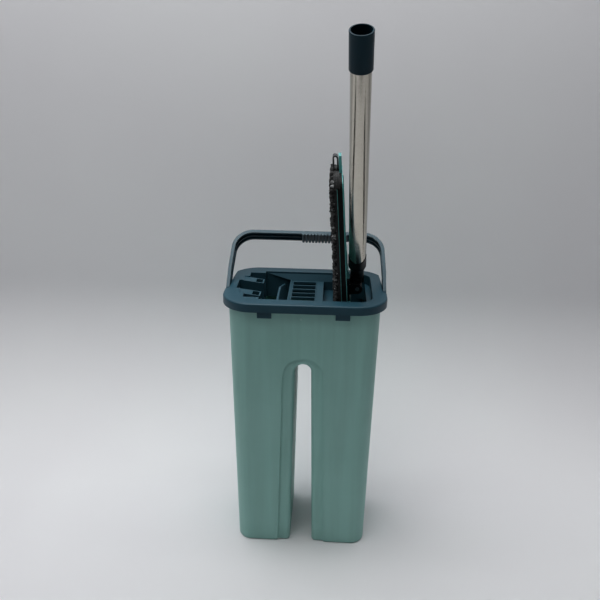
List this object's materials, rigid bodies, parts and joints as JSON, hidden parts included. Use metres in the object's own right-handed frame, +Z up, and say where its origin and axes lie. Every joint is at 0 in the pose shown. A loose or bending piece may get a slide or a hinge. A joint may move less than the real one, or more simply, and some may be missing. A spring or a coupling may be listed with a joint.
{
  "type": "flat squeeze mop and two-chamber bucket",
  "caption": "Tall two-legged plastic bucket with a wash chute, a squeeze chute and a folding bail, holding a flat microfibre mop on a leaning steel pole.",
  "frame": {"origin": "centre of the bucket's base, between the two feet, on the floor", "axes": "+Z up; +X from the wash side to the squeeze side; +Y from the front to the back"},
  "size_m": [0.222, 0.2505, 0.7335],
  "materials": {
    "mint_shell": "satin moulded polypropylene",
    "slate_frame": "satin moulded polypropylene",
    "teal_plate": "gloss moulded ABS",
    "black_plastic": "fine moulded polypropylene",
    "soft_lip": "matt thermoplastic rubber",
    "pole_steel": "polished stainless tube",
    "small_steel": "plated steel",
    "black_cloth": "woven polyester",
    "grey_pile": "deep microfibre pile",
    "grey_webbing": "woven webbing"
  },
  "bodies": {
    "bucket": {"bucket_shell": "mint_shell", "top_frame": "slate_frame", "drain_grille": "slate_frame", "squeeze_lip": "soft_lip", "handle_pivots": "slate_frame"},
    "handle": {"carry_handle": "slate_frame"},
    "mop_head": {"mop_plate": "teal_plate", "edge_strip": "soft_lip", "hinge_base": "black_plastic", "hinge_screws": "small_steel", "fold_pin": "small_steel", "pad_cloth": "black_cloth", "pad_binding": "black_cloth", "pad_pile": "grey_pile", "pad_pockets": "black_cloth", "pull_loop": "grey_webbing"},
    "knuckle": {"knuckle": "black_plastic"},
    "pole": {"swivel_pin": "small_steel", "pole_fork": "black_plastic", "pole_tube": "pole_steel", "fork_screw": "small_steel", "pole_coupler": "slate_frame"}
  },
  "joints": [
    {"name": "handle_swing", "type": "hinge", "parent": "bucket", "child": "handle", "pos_m": [0, 0, 0.3885], "axis": [1, 0, 0], "range_deg": [-42, 4]},
    {"name": "mop_slide", "type": "slide", "parent": "bucket", "child": "mop_head", "axis": [-0.0732, 0, 0.9973], "range_m": [0, 0.17]},
    {"name": "head_fold", "type": "hinge", "parent": "mop_head", "child": "knuckle", "pos_m": [0.0706, 0, 0.4], "axis": [0, 1, 0], "range_deg": [0, 52]},
    {"name": "pole_swivel", "type": "hinge", "parent": "knuckle", "child": "pole", "pos_m": [0.0702, 0, 0.41], "axis": [0.9991, 0, 0.0424], "range_deg": [-32, 25]}
  ]
}
